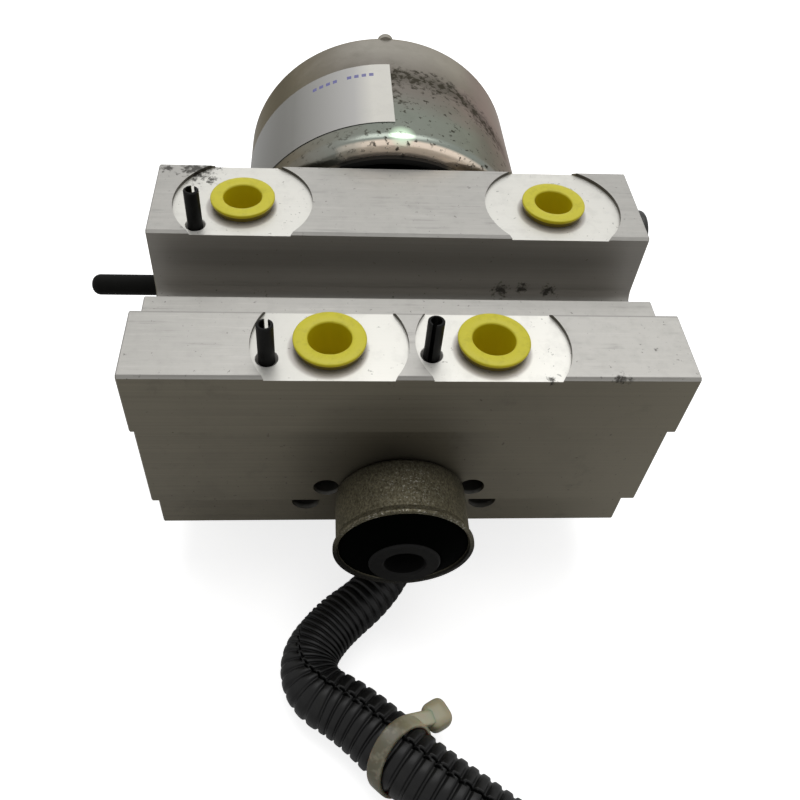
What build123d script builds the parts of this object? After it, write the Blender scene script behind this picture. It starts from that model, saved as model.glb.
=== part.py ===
"""Two-channel brake hydraulic unit: ported aluminium block, pump motor, bush mount and harness."""

import os
from math import atan2, cos, degrees, pi, radians, sin, tan

from build123d import *

os.makedirs("parts", exist_ok=True)

# Valve block, an extrusion along X. Depths run back from the front face, insets run
# forwards from the rear face, drops run down from the front rail's top.
block_width = 115.0
block_depth = 68.1
block_height = 63.3
front_rail_depth = 18.55
ledge_depth = 31.6
ledge_drop = 8.2
groove_drop = 19.5
groove_radius = 4.5
rear_rail_front = 42.2
rear_rise = 1.1
upper_band = 17.6
middle_band = 46.9
middle_setback = 2.46
lower_setback = 7.1
edge_break = 0.6

# Ports in shallow spotfaces on both rails
port_radius = 5.45
port_depth = 15.0
spot_depth = 0.9
front_spot_radius = 16.0
rear_spot_radius = 16.2
front_port_half_pitch = 16.6
rear_port_half_pitch = 36.6
front_port_depth = 9.6
rear_port_inset = 14.3
gallery_radius = 1.75
drill_point = 59.0

# Plastic port plugs
plug_flange_radius = 7.45
plug_flange = 1.9
plug_undercut = 0.6
plug_seat_gap = 0.3
plug_bore_radius = 4.45
plug_stem = 8.5
plug_wall = 0.9

# Slotted spring pins that stop the pipe fittings from turning
pin_radius = 1.7
pin_wall = 0.55
pin_slot = 0.8
pin_height = 9.6
pin_sunk = 7.0
pin_circle = 13.0
pin_countersink = 0.65

# Front mounting bush
bush_offset = 0.3
bush_drop = 44.2
bush_body_radius = 15.15
bush_lip_radius = 15.9
bush_neck_radius = 11.95
bush_neck_length = 7.0
bush_wall = 1.3
bush_length = 14.7
core_radius = 8.0
core_bore_radius = 4.55
core_proud = 3.75
bush_lip = 0.9
rubber_recess = 0.7

# Drillings in the front face
upper_hole_radius = 3.0
upper_hole_half_pitch = 16.95
upper_hole_drop = 41.2
lower_hole_radius = 3.4
lower_hole_half_pitch = 21.9
lower_hole_drop = 54.0
front_hole_depth = 13.0

# Left side spigot under its rubber cap, and right side plug
spigot_radius = 1.5
spigot_sunk = 9.0
cap_radius = 2.55
cap_reach = 17.2
spigot_inset = 18.1
spigot_drop = 22.25
side_plug_radius = 5.55
side_plug_reach = 3.8
side_plug_shank = 3.9
side_plug_sunk = 8.0
side_plug_inset = 12.7
side_plug_drop = 7.7

# Pump motor on the block's rear face
motor_offset = -0.6
motor_drop = 31.1
can_radius = 39.2
can_wall = 2.0
can_length = 52.2
can_shoulder = 2.8
can_far_radius = 3.0
boss_radius = 10.0
boss_height = 2.5
rim_pip_radius = 2.2
rim_pip_length = 2.6
rear_bearing_radius = 8.0
motor_gasket_thick = 0.5
end_plate_thick = 1.5
bearing_shoulder = 1.0
lip_width = 6.2
pilot_radius = 12.95
pilot_length = 6.0
shaft_radius = 4.0
front_bearing_radius = 11.0
bearing_width = 5.0
tie_bolt_radius = 2.5
tie_bolt_inset = 9.7
tie_bolt_grip = 10.0
magnet_thick = 5.2
magnet_half = 38.0
magnet_length = 28.0
air_gap = 7.0
core_length = 21.5
core_slots = 12
slot_width = 3.2
slot_length = 9.0
slot_lip = 1.8
slot_mouth = 1.4
winding_end = 2.6
commutator_radius = 10.0
commutator_length = 9.0
brush_width = 6.0
brush_length = 9.0
brush_travel = 3.0
brush_box_wall = 1.2
brush_plate_thick = 2.5
label_thick = 0.15
label_start = 89.5
label_sweep = 78.0
label_near = 6.2
label_width = 28.3

# Radial piston pump driven by the eccentric on the motor shaft
pump_inset = 10.1
eccentric_throw = 0.75
eccentric_radius = 5.5
eccentric_ring_radius = 9.0
eccentric_ring_width = 8.0
chamber_radius = 13.0
chamber_depth = 21.0
plunger_radius = 3.0
plunger_head_radius = 4.6
plunger_head = 2.0
guide_length = 11.0
spring_room_radius = 5.2
pump_cap_radius = 8.0
pump_cap_length = 9.0
pump_cap_recess = 0.5
pump_cap_socket = 8.0

# Solenoid valves in the block's underside
valve_inset = 27.1
valve_half_pitches = (32.0, 11.0)
valve_bore_radius = 5.0
valve_bore_depth = 18.0
valve_tube_radius = 4.0
valve_tube_length = 11.0
armature_radius = 2.8
armature_length = 12.0
armature_travel = 0.4
coil_radius = 9.0
coil_length = 9.5

# Valve cover under the block, the foot of the unit
cover_height = 16.4
cover_gasket_thick = 0.6
cover_width = 104.0
cover_depth = 36.4
cover_inset = 2.1
cover_wall = 2.0
cover_corner = 5.0
cover_screw_inset = 5.2
cover_screw_radius = 2.0
cover_screw_length = 20.0
cover_boss_radius = 5.2
screw_head_radius = 3.4
screw_head_height = 2.4

# Harness
conduit_radius = 6.9
outlet_height = 8.2
outlet_offset = 5.5
nozzle_radius = 4.0
nozzle_length = 5.0
grommet_flange = 2.0
tie_share = 0.66
tie_band = 3.6
tie_thick = 0.95
tie_head_reach = 6.6
tie_head_height = 5.2
tie_head_length = 6.4
tie_head_gap = 1.6
harness_plug_length = 28.0
harness_plug_width = 22.0
harness_plug_height = 16.0
harness_plug_socket = 5.0

# Clearances
running = 0.05
seated = 0.02
loose = 0.3

cover_screw_depth = cover_screw_length + screw_head_height + 1.0 - cover_height - cover_gasket_thick

# Rings inside the can, from its own radius
lip_radius = can_radius - lip_width
end_plate_radius = lip_radius + 1.5
tie_bolt_circle = can_radius - tie_bolt_inset
magnet_inner = can_radius - can_wall - magnet_thick
core_outer = magnet_inner - air_gap
slot_circle = core_outer - slot_lip - slot_length / 2

# Depths of what keeps its distance from the rear face
rear_port_depth = block_depth - rear_port_inset
spigot_depth = block_depth - spigot_inset
side_plug_depth = block_depth - side_plug_inset
valve_depth = block_depth - valve_inset
cover_back = block_depth - cover_inset
cover_front = cover_back - cover_depth

# Where the block stands in the part's frame: the box of everything but the harness
# is centred on the origin and stands on z = 0.
block_bottom = cover_height + cover_gasket_thick
rail_top = block_bottom + block_height
rear_top = rail_top + rear_rise
front_reach = bush_length - middle_setback + core_proud
can_near = block_depth + motor_gasket_thick + end_plate_thick
rear_reach = can_near + can_length + boss_height
mid_x = (cap_reach - side_plug_reach) / 2
front_y = (front_reach - rear_reach) / 2
middle_y = front_y + middle_setback
lower_y = front_y + lower_setback
rear_y = front_y + block_depth
left_x = mid_x - block_width / 2
right_x = mid_x + block_width / 2
bush_x = mid_x + bush_offset
bush_z = rail_top - bush_drop
motor_x = mid_x + motor_offset
motor_z = rail_top - motor_drop
can_y = front_y + can_near
can_end = can_y + can_length
brush_y = can_y + can_wall + brush_plate_thick + commutator_length / 2 + 0.9
core_y = brush_y + commutator_length / 2 + winding_end + 1.5
pump_y = rear_y - pump_inset
ring_reach = eccentric_ring_radius + eccentric_throw

ports = {
    "front_left": (mid_x - front_port_half_pitch, front_y + front_port_depth, rail_top),
    "front_right": (mid_x + front_port_half_pitch, front_y + front_port_depth, rail_top),
    "rear_left": (mid_x - rear_port_half_pitch, front_y + rear_port_depth, rear_top),
    "rear_right": (mid_x + rear_port_half_pitch, front_y + rear_port_depth, rear_top),
}
tie_bolts = [
    (motor_x - tie_bolt_circle * cos(pi / 4), motor_z + tie_bolt_circle * sin(pi / 4)),
    (motor_x + tie_bolt_circle * cos(pi / 4), motor_z - tie_bolt_circle * sin(pi / 4)),
]
# Bearing of each pin from its port, and the way its slot faces, in degrees
pins = {"front_left": (197, 80), "front_right": (191, 250), "rear_left": (218, 78)}


def save(builder, name):
    """Labels a finished piece and writes it as a node."""
    builder.part.label = name
    export_step(builder.part, f"parts/{name}.step")


def along(x, y, z, axis):
    """A plane whose local x runs along the axis and whose local y is a radius."""
    side = (0, 0, 1) if axis[2] == 0 else (0, 1, 0)
    return Plane(origin=(x, y, z), x_dir=axis, z_dir=side)


def turned(plane, *points, mode=Mode.ADD):
    """Turns a section of (distance along, radius) points about the plane's local x."""
    with BuildSketch(plane) as profile:
        with BuildLine():
            Polyline(*points, close=True)
        make_face()
    revolve(profile.sketch, axis=Axis(plane.origin, plane.x_dir), mode=mode)


def drilled(plane, radius, depth, start=0.0):
    """Cuts a blind hole with a drill point, going in along the plane's local x."""
    tip = radius / tan(radians(drill_point))
    turned(
        plane,
        (start, 0),
        (start, radius),
        (depth, radius),
        (depth + tip, 0),
        mode=Mode.SUBTRACT,
    )


def bored(plane, radius, depth, start=0.0, mode=Mode.SUBTRACT):
    """Cuts or adds a flat-ended cylinder going along the plane's local x."""
    turned(plane, (start, 0), (start, radius), (depth, radius), (depth, 0), mode=mode)


def ring(plane, inner, outer, start, end):
    """Adds a plain ring between two distances along the plane's local x."""
    turned(plane, (start, inner), (start, outer), (end, outer), (end, inner))


def pin_place(name):
    """The axis of a spring pin, from its port and bearing."""
    x, y, top = ports[name]
    angle = radians(pins[name][0])
    return x + pin_circle * cos(angle), y + pin_circle * sin(angle), top - spot_depth


# Valve block
with BuildPart() as valve_block:
    with BuildSketch(Plane.YZ.offset(mid_x)) as section:
        with BuildLine():
            Polyline(
                (front_y, rail_top),
                (front_y, rail_top - upper_band),
                (middle_y, rail_top - upper_band),
                (middle_y, rail_top - middle_band),
                (lower_y, rail_top - middle_band),
                (lower_y, block_bottom),
                (rear_y, block_bottom),
                (rear_y, rear_top),
                (front_y + rear_rail_front, rear_top),
                (front_y + rear_rail_front, rail_top - groove_drop),
                (front_y + ledge_depth, rail_top - groove_drop),
                (front_y + ledge_depth, rail_top - ledge_drop),
                (front_y + front_rail_depth, rail_top - ledge_drop),
                (front_y + front_rail_depth, rail_top),
                close=True,
            )
        make_face()
        hollow = [
            (front_y + front_rail_depth, rail_top - ledge_drop),
            (middle_y, rail_top - upper_band),
            (lower_y, rail_top - middle_band),
        ]
        groove = [v for v in section.vertices() if abs(v.Y - rail_top + groove_drop) < 0.01]
        outer = [
            v
            for v in section.vertices()
            if abs(v.Y - rail_top + groove_drop) > 0.01
            and min(abs(v.X - y) + abs(v.Y - z) for y, z in hollow) > 0.01
        ]
        kept = [Vector(*v) for v in outer]
        fillet(groove, groove_radius)
        chamfer([section.vertices().sort_by_distance(v)[0] for v in kept], edge_break)
    extrude(amount=block_width / 2, both=True)
    chamfer(valve_block.faces().filter_by(Axis.X).edges(), edge_break / 2)

    # Spotfaces, wide enough to run out through the rails' front and back edges
    for name, (x, y, top) in ports.items():
        radius = front_spot_radius if "front" in name else rear_spot_radius
        with BuildSketch(Plane.XY.offset(top)):
            with Locations((x, y)):
                Circle(radius)
        extrude(amount=-spot_depth, mode=Mode.SUBTRACT)
    for x, y, top in ports.values():
        drilled(along(x, y, top, (0, 0, -1)), port_radius, spot_depth + port_depth)
        drilled(along(x, y, top, (0, 0, -1)), gallery_radius, top - motor_z)
    for name in pins:
        x, y, floor = pin_place(name)
        drilled(along(x, y, floor, (0, 0, -1)), pin_radius + seated, pin_sunk + 1)
        turned(
            along(x, y, floor, (0, 0, -1)),
            (0, 0),
            (0, pin_radius + pin_countersink),
            (pin_countersink, pin_radius),
            (pin_countersink, 0),
            mode=Mode.SUBTRACT,
        )

    # Front face: seat of the bush and two pairs of drillings
    bored(
        along(bush_x, middle_y, bush_z, (0, 1, 0)),
        bush_neck_radius + seated,
        bush_neck_length + 1,
    )
    for side in (-1, 1):
        drilled(
            along(mid_x + side * upper_hole_half_pitch, middle_y, rail_top - upper_hole_drop, (0, 1, 0)),
            upper_hole_radius,
            front_hole_depth,
        )
        drilled(
            along(mid_x + side * lower_hole_half_pitch, middle_y, rail_top - lower_hole_drop, (0, 1, 0)),
            lower_hole_radius,
            front_hole_depth + lower_setback - middle_setback,
        )

    # Sides: spigot hole, side plug hole with its gallery, and the two pump bores
    drilled(
        along(left_x, front_y + spigot_depth, rail_top - spigot_drop, (1, 0, 0)),
        spigot_radius + seated,
        spigot_sunk + 1,
    )
    side_plane = along(right_x, front_y + side_plug_depth, rail_top - side_plug_drop, (-1, 0, 0))
    drilled(side_plane, side_plug_shank + seated, side_plug_sunk + 1)
    drilled(side_plane, gallery_radius, block_width / 2 - rear_port_half_pitch)
    for side in (-1, 1):
        face = block_width / 2 + side * (mid_x - motor_x)
        out = along(motor_x, pump_y, motor_z, (side, 0, 0))
        cap_floor = face - pump_cap_recess - pump_cap_length
        guide_end = chamber_radius + guide_length
        turned(
            out,
            (0, 0),
            (0, plunger_radius + running),
            (guide_end, plunger_radius + running),
            (guide_end, spring_room_radius),
            (cap_floor, spring_room_radius),
            (cap_floor, pump_cap_radius),
            (face, pump_cap_radius),
            (face, 0),
            mode=Mode.SUBTRACT,
        )

    # Rear face: eccentric chamber and tie bolt holes
    bored(along(motor_x, rear_y, motor_z, (0, -1, 0)), chamber_radius, chamber_depth)
    for x, z in tie_bolts:
        drilled(along(x, rear_y, z, (0, -1, 0)), tie_bolt_radius + running, tie_bolt_grip + 2)

    # Underside: valve bores and cover screw holes
    for side in (-1, 1):
        for pitch in valve_half_pitches:
            up = along(mid_x + side * pitch, front_y + valve_depth, block_bottom, (0, 0, 1))
            drilled(up, valve_bore_radius, valve_bore_depth)
        for y in (cover_front + cover_screw_inset, cover_back - cover_screw_inset):
            x = mid_x + side * (cover_width / 2 - cover_screw_inset)
            up = along(x, front_y + y, block_bottom, (0, 0, 1))
            drilled(up, cover_screw_radius + running, cover_screw_depth + 1.5)
save(valve_block, "valve_block")


# Port plugs: flanged plastic cups
for name, (x, y, top) in ports.items():
    floor = top - spot_depth + plug_seat_gap
    with BuildPart() as port_plug:
        turned(
            along(x, y, floor, (0, 0, 1)),
            (plug_flange, plug_flange_radius),
            (plug_undercut, plug_flange_radius),
            (0, plug_flange_radius - plug_undercut),
            (0, plug_bore_radius + plug_wall),
            (-plug_stem, plug_bore_radius + plug_wall - 0.3),
            (-plug_stem, 0),
            (-plug_stem + plug_wall, 0),
            (-plug_stem + plug_wall, plug_bore_radius - 0.2),
            (plug_flange, plug_bore_radius),
        )
        rims = port_plug.faces().sort_by(Axis.Z)[-1].edges().sort_by(SortBy.RADIUS)
        fillet(rims[0], 0.35)
        fillet(port_plug.faces().sort_by(Axis.Z)[-1].edges().sort_by(SortBy.RADIUS)[-1], 0.9)
    save(port_plug, f"port_plug_{name}")


# Spring pins: slotted tubes with chamfered ends
for name, (bearing, slot_angle) in pins.items():
    x, y, floor = pin_place(name)
    with BuildPart() as spring_pin:
        with BuildSketch(Plane.XY.offset(floor - pin_sunk)):
            with Locations((x, y)):
                Circle(pin_radius)
        extrude(amount=pin_sunk + pin_height)
        ends = spring_pin.faces().filter_by(Axis.Z).edges()
        chamfer(ends, 0.25)
        with BuildSketch(Plane.XY.offset(floor - pin_sunk)):
            with Locations((x, y)):
                Circle(pin_radius - pin_wall)
            with Locations(Location((x, y), slot_angle)):
                with Locations((pin_radius, 0)):
                    Rectangle(2 * pin_radius, pin_slot)
        extrude(amount=pin_sunk + pin_height, mode=Mode.SUBTRACT)
    save(spring_pin, f"spring_pin_{name}")


# Mounting bush: stepped steel sleeve, bonded rubber and inner core
bush_out = along(bush_x, middle_y, bush_z, (0, -1, 0))
flange_near = 0.4
with BuildPart() as bush_sleeve:
    with BuildSketch(bush_out) as sleeve_section:
        with BuildLine():
            Polyline(
                (-bush_neck_length, bush_neck_radius - bush_wall),
                (-bush_neck_length, bush_neck_radius),
                (flange_near, bush_neck_radius),
                (flange_near, bush_body_radius),
                (bush_length - 2.2, bush_body_radius),
                (bush_length - 0.6, bush_lip_radius),
                (bush_length, bush_lip_radius),
                (bush_length, bush_lip_radius - bush_lip),
                (bush_length - 2.2, bush_body_radius - bush_wall),
                (flange_near + bush_wall, bush_body_radius - bush_wall),
                (flange_near + bush_wall, bush_neck_radius - bush_wall),
                close=True,
            )
        make_face()
        corner = Vector(flange_near, bush_body_radius)
        fillet(sleeve_section.vertices().sort_by_distance(corner)[0], 1.0)
    revolve(axis=Axis(bush_out.origin, bush_out.x_dir))
save(bush_sleeve, "bush_sleeve")

with BuildPart() as bush_rubber:
    rubber_inner = core_radius + seated
    rubber_outer = bush_body_radius - bush_wall - seated
    flare = (bush_lip_radius - bush_lip - bush_body_radius + bush_wall) * (1 - rubber_recess / 2.2)
    rubber_top = bush_length + core_proud - 0.6
    turned(
        bush_out,
        (flange_near + bush_wall + seated, rubber_inner),
        (flange_near + bush_wall + seated, rubber_outer),
        (bush_length - 2.2, rubber_outer),
        (bush_length - rubber_recess, rubber_outer + flare),
        (rubber_top, rubber_inner + 0.5),
        (rubber_top, rubber_inner),
    )
save(bush_rubber, "bush_rubber")

with BuildPart() as bush_core:
    with BuildSketch(Plane.XZ.offset(-middle_y)):
        with Locations((bush_x, bush_z)):
            Circle(core_radius)
            Circle(core_bore_radius, mode=Mode.SUBTRACT)
    extrude(amount=bush_length + core_proud)
    chamfer(bush_core.faces().filter_by(Axis.Y).edges(), 0.4)
save(bush_core, "bush_core")


# Side spigot with its rubber cap
spigot_in = along(left_x, front_y + spigot_depth, rail_top - spigot_drop, (-1, 0, 0))
with BuildPart() as side_spigot:
    turned(
        spigot_in,
        (-spigot_sunk, 0),
        (-spigot_sunk, spigot_radius),
        (cap_reach - 4.0, spigot_radius),
        (cap_reach - 3.0, 0),
    )
save(side_spigot, "side_spigot")

with BuildPart() as spigot_cap:
    turned(
        spigot_in,
        (0, spigot_radius + seated),
        (0, cap_radius),
        (cap_reach, cap_radius),
        (cap_reach, 0),
        (cap_reach - 3.0 + seated, 0),
        (cap_reach - 4.0, spigot_radius + seated),
    )
    tip = spigot_cap.edges().filter_by(GeomType.CIRCLE).sort_by(Axis.X)[0]
    fillet(tip, cap_radius - 0.5)
save(spigot_cap, "spigot_cap")

# Side plug: domed head with a hexagon socket, on a threaded shank
with BuildPart() as side_plug:
    plug_out = along(right_x, front_y + side_plug_depth, rail_top - side_plug_drop, (1, 0, 0))
    turned(
        plug_out,
        (-side_plug_sunk, 0),
        (-side_plug_sunk, side_plug_shank),
        (0, side_plug_shank),
        (0, side_plug_radius),
        (side_plug_reach, side_plug_radius),
        (side_plug_reach, 0),
    )
    head_rim = side_plug.faces().sort_by(Axis.X)[-1].edges()
    fillet(head_rim, 1.2)
    with BuildSketch(Plane.YZ.offset(right_x + side_plug_reach)):
        with Locations((front_y + side_plug_depth, rail_top - side_plug_drop)):
            RegularPolygon(2.5, 6, major_radius=False)
    extrude(amount=-2.5, mode=Mode.SUBTRACT)
save(side_plug, "side_plug")


# Motor can: drawn cup with a turned-in near lip and a bearing boss at the far end
can_out = along(motor_x, can_y, motor_z, (0, 1, 0))
with BuildPart() as motor_can:
    with BuildSketch(can_out) as can_section:
        with BuildLine():
            Polyline(
                (0, lip_radius),
                (0, can_radius),
                (can_length, can_radius),
                (can_length, boss_radius),
                (can_length + boss_height, boss_radius),
                (can_length + boss_height, 0),
                (can_length + boss_height - can_wall, 0),
                (can_length + boss_height - can_wall, rear_bearing_radius),
                (can_length - can_wall, rear_bearing_radius),
                (can_length - can_wall, can_radius - can_wall),
                (can_wall, can_radius - can_wall),
                (can_wall, lip_radius),
                close=True,
            )
        make_face()
        for a, r, size in (
            (0, can_radius, can_shoulder),
            (can_wall, can_radius - can_wall, can_shoulder - can_wall),
            (can_length, can_radius, can_far_radius),
            (can_length - can_wall, can_radius - can_wall, can_far_radius - can_wall),
            (can_length, boss_radius, 1.0),
            (can_length + boss_height, boss_radius, 1.0),
        ):
            corner = can_section.vertices().sort_by_distance(Vector(a, r))[0]
            fillet(corner, size)
    revolve(axis=Axis(can_out.origin, can_out.x_dir))
    for x, z in tie_bolts:
        bored(along(x, can_end, z, (0, -1, 0)), tie_bolt_radius + 0.1, can_wall + 1, -1)
    # Pip pressed out at the top of the far rim
    pip = along(motor_x, can_end, motor_z + can_radius - can_far_radius / 2, (0, -1, 0))
    bored(pip, rim_pip_radius, rim_pip_length, can_far_radius / 4, Mode.ADD)
save(motor_can, "motor_can")

with BuildPart() as motor_gasket:
    flat = along(motor_x, rear_y, motor_z, (0, 1, 0))
    ring(flat, pilot_radius + 0.1, lip_radius, 0, motor_gasket_thick)
    for x, z in tie_bolts:
        bored(along(x, rear_y, z, (0, 1, 0)), tie_bolt_radius + 0.1, motor_gasket_thick, -1)
save(motor_gasket, "motor_gasket")

# End plate with the pilot that centres the motor and holds its front bearing
with BuildPart() as motor_end_plate:
    plate_out = along(motor_x, rear_y + motor_gasket_thick, motor_z, (0, 1, 0))
    turned(
        plate_out,
        (-pilot_length, pilot_radius),
        (0, pilot_radius),
        (0, end_plate_radius),
        (end_plate_thick, end_plate_radius),
        (end_plate_thick, front_bearing_radius - 1),
        (end_plate_thick - bearing_shoulder, front_bearing_radius - 1),
        (end_plate_thick - bearing_shoulder, front_bearing_radius + seated),
        (-pilot_length, front_bearing_radius + seated),
    )
    for x, z in tie_bolts:
        bored(along(x, rear_y, z, (0, 1, 0)), tie_bolt_radius + 0.1, 4, -1)
save(motor_end_plate, "motor_end_plate")

for name, (x, z) in zip(("upper", "lower"), tie_bolts):
    with BuildPart() as tie_bolt:
        bolt_out = along(x, can_end, z, (0, 1, 0))
        grip = can_end - rear_y + tie_bolt_grip
        turned(
            bolt_out,
            (-grip, 0),
            (-grip, tie_bolt_radius - 0.4),
            (-grip + 0.5, tie_bolt_radius),
            (0, tie_bolt_radius),
            (0, 4.2),
            (1.7, 4.2),
            (2.3, 3.2),
            (2.3, 0),
        )
        with BuildSketch(Plane.XZ.offset(-can_end - 2.3)):
            with Locations((x, z)):
                RegularPolygon(1.9, 6, major_radius=False)
        extrude(amount=1.5, mode=Mode.SUBTRACT)
    save(tie_bolt, f"tie_bolt_{name}")

with BuildPart() as motor_label:
    inner_edge = can_radius + seated
    with BuildSketch(Plane.XZ.offset(-(can_y + label_near))):
        with BuildLine():
            centre = (motor_x, motor_z)
            inner_arc = CenterArc(centre, inner_edge, label_start, label_sweep)
            outer_arc = CenterArc(centre, inner_edge + label_thick, label_start, label_sweep)
            Line(inner_arc @ 0, outer_arc @ 0)
            Line(inner_arc @ 1, outer_arc @ 1)
        make_face()
    extrude(amount=-label_width)
save(motor_label, "motor_label")

for name, middle in (("right", 0), ("left", 180)):
    with BuildPart() as magnet:
        with BuildSketch(Plane.XZ.offset(-(core_y + (core_length - magnet_length) / 2))):
            with BuildLine():
                centre = (motor_x, motor_z)
                inner_arc = CenterArc(centre, magnet_inner, middle - magnet_half, 2 * magnet_half)
                outer_arc = CenterArc(
                    centre, can_radius - can_wall - seated, middle - magnet_half, 2 * magnet_half
                )
                Line(inner_arc @ 0, outer_arc @ 0)
                Line(inner_arc @ 1, outer_arc @ 1)
            make_face()
        extrude(amount=-magnet_length)
    save(magnet, f"magnet_{name}")


# Rotor: shaft with its eccentric, slotted core, windings and commutator
shaft_out = along(motor_x, pump_y, motor_z, (0, 1, 0))
high_out = along(motor_x, pump_y, motor_z + eccentric_throw, (0, 1, 0))
half_ring = eccentric_ring_width / 2
with BuildPart() as rotor_shaft:
    bored(high_out, eccentric_radius, half_ring, -half_ring, Mode.ADD)
    bored(shaft_out, shaft_radius, can_end + boss_height - can_wall - 0.5 - pump_y, half_ring, Mode.ADD)
save(rotor_shaft, "rotor_shaft")

with BuildPart() as eccentric_ring:
    ring(high_out, eccentric_radius + seated, eccentric_ring_radius, -half_ring, half_ring)
save(eccentric_ring, "eccentric_ring")

with BuildPart() as rotor_core:
    with BuildSketch(Plane.XZ.offset(-core_y)):
        with Locations((motor_x, motor_z)):
            Circle(core_outer)
            Circle(shaft_radius + seated, mode=Mode.SUBTRACT)
            with PolarLocations(slot_circle, core_slots):
                Rectangle(slot_length + 2 * seated, slot_width + 2 * seated, mode=Mode.SUBTRACT)
            with PolarLocations(core_outer - slot_lip / 2, core_slots):
                Rectangle(2 * slot_lip, slot_mouth, mode=Mode.SUBTRACT)
    extrude(amount=-core_length)
save(rotor_core, "rotor_core")

with BuildPart() as rotor_windings:
    for start in (core_y - winding_end, core_y + core_length + seated):
        head = along(motor_x, start, motor_z, (0, 1, 0))
        ring(head, shaft_radius + 2.0, core_outer - slot_lip, 0, winding_end - seated)
    with BuildSketch(Plane.XZ.offset(-(core_y - winding_end / 2))):
        with Locations((motor_x, motor_z)):
            with PolarLocations(slot_circle, core_slots):
                Rectangle(slot_length, slot_width)
    extrude(amount=-(core_length + winding_end))
save(rotor_windings, "rotor_windings")

with BuildPart() as commutator:
    ring(
        along(motor_x, brush_y - commutator_length / 2, motor_z, (0, 1, 0)),
        shaft_radius + seated,
        commutator_radius,
        0,
        commutator_length,
    )
save(commutator, "commutator")

with BuildPart() as front_bearing:
    bearing_y = rear_y + motor_gasket_thick + end_plate_thick - bearing_shoulder
    ring(
        along(motor_x, bearing_y, motor_z, (0, -1, 0)),
        shaft_radius + running,
        front_bearing_radius,
        seated,
        bearing_width,
    )
save(front_bearing, "front_bearing")

with BuildPart() as rear_bearing:
    ring(
        along(motor_x, can_end + boss_height - can_wall, motor_z, (0, -1, 0)),
        shaft_radius + running,
        rear_bearing_radius - seated,
        seated,
        bearing_width,
    )
save(rear_bearing, "rear_bearing")

# Brush plate with a box for each brush, above and below the commutator
box_inner = commutator_radius + 2.0
box_end = box_inner + brush_length + brush_travel + 2.0
with BuildPart() as brush_plate:
    ring(
        along(motor_x, can_y + can_wall, motor_z, (0, 1, 0)),
        commutator_radius + 1.5,
        can_radius - can_shoulder - 0.3,
        seated,
        brush_plate_thick,
    )
    for x, z in tie_bolts:
        bored(along(x, can_y, z, (0, 1, 0)), tie_bolt_radius + 0.3, can_wall + brush_plate_thick + 1)
    plate_top = can_y + can_wall + brush_plate_thick
    box_far = brush_y + brush_width / 2 + brush_box_wall
    for side in (-1, 1):
        box_width = brush_width + 2 * brush_box_wall
        with Locations((motor_x, (plate_top + box_far) / 2 - 0.25, motor_z + side * (box_inner + box_end) / 2)):
            Box(box_width, box_far - plate_top + 0.5, box_end - box_inner)
        room = box_end - brush_box_wall - box_inner
        with Locations((motor_x, brush_y, motor_z + side * (box_inner + room / 2 - 1))):
            Box(brush_width + 2 * running, brush_width + 2 * running, room + 2, mode=Mode.SUBTRACT)
save(brush_plate, "brush_plate")

for name, side in (("upper", 1), ("lower", -1)):
    with BuildPart() as brush:
        with Locations((motor_x, brush_y, motor_z + side * (commutator_radius + 0.03 + brush_length / 2))):
            Box(brush_width, brush_width, brush_length)
    save(brush, f"brush_{name}")

    spring_start = commutator_radius + brush_length + 0.1
    spring_end = box_end - brush_box_wall - 0.05
    turns = 3
    wire = 0.5
    with BuildPart() as brush_spring:
        with BuildLine():
            coil_path = Helix(
                (spring_end - spring_start - wire) / turns,
                spring_end - spring_start - wire,
                2.0,
                center=(motor_x, brush_y, motor_z + side * (spring_start + wire / 2)),
                direction=(0, 0, side),
            )
        with BuildSketch(Plane(origin=coil_path @ 0, x_dir=(0, 0, 1), z_dir=coil_path % 0)):
            Rectangle(wire, wire)
        sweep(is_frenet=True)
    save(brush_spring, f"brush_spring_{name}")


# Pump plungers at outer dead centre, and the caps that close their bores
for name, side in (("left", -1), ("right", 1)):
    plunger_out = along(motor_x, pump_y, motor_z, (side, 0, 0))
    face = block_width / 2 + side * (mid_x - motor_x)
    with BuildPart() as pump_plunger:
        guide_end = chamber_radius + guide_length
        turned(
            plunger_out,
            (ring_reach + running, 0),
            (ring_reach + running, plunger_radius - 0.6),
            (ring_reach + running + 0.6, plunger_radius),
            (guide_end + 2.0, plunger_radius),
            (guide_end + 2.0, plunger_head_radius),
            (guide_end + 2.0 + plunger_head, plunger_head_radius),
            (guide_end + 2.0 + plunger_head, 0),
        )
    save(pump_plunger, f"pump_plunger_{name}")
    with BuildPart() as pump_cap:
        cap_end = face - pump_cap_recess
        bored(plunger_out, pump_cap_radius - seated, cap_end, cap_end - pump_cap_length, Mode.ADD)
        chamfer(pump_cap.faces().sort_by(Axis.X)[0 if side < 0 else -1].edges(), 0.5)
        with BuildSketch(Plane.YZ.offset(motor_x + side * cap_end)):
            with Locations((pump_y, motor_z)):
                RegularPolygon(pump_cap_socket / 2, 6, major_radius=False)
        extrude(amount=-side * 4.0, mode=Mode.SUBTRACT)
    save(pump_cap, f"pump_cap_{name}")


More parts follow.
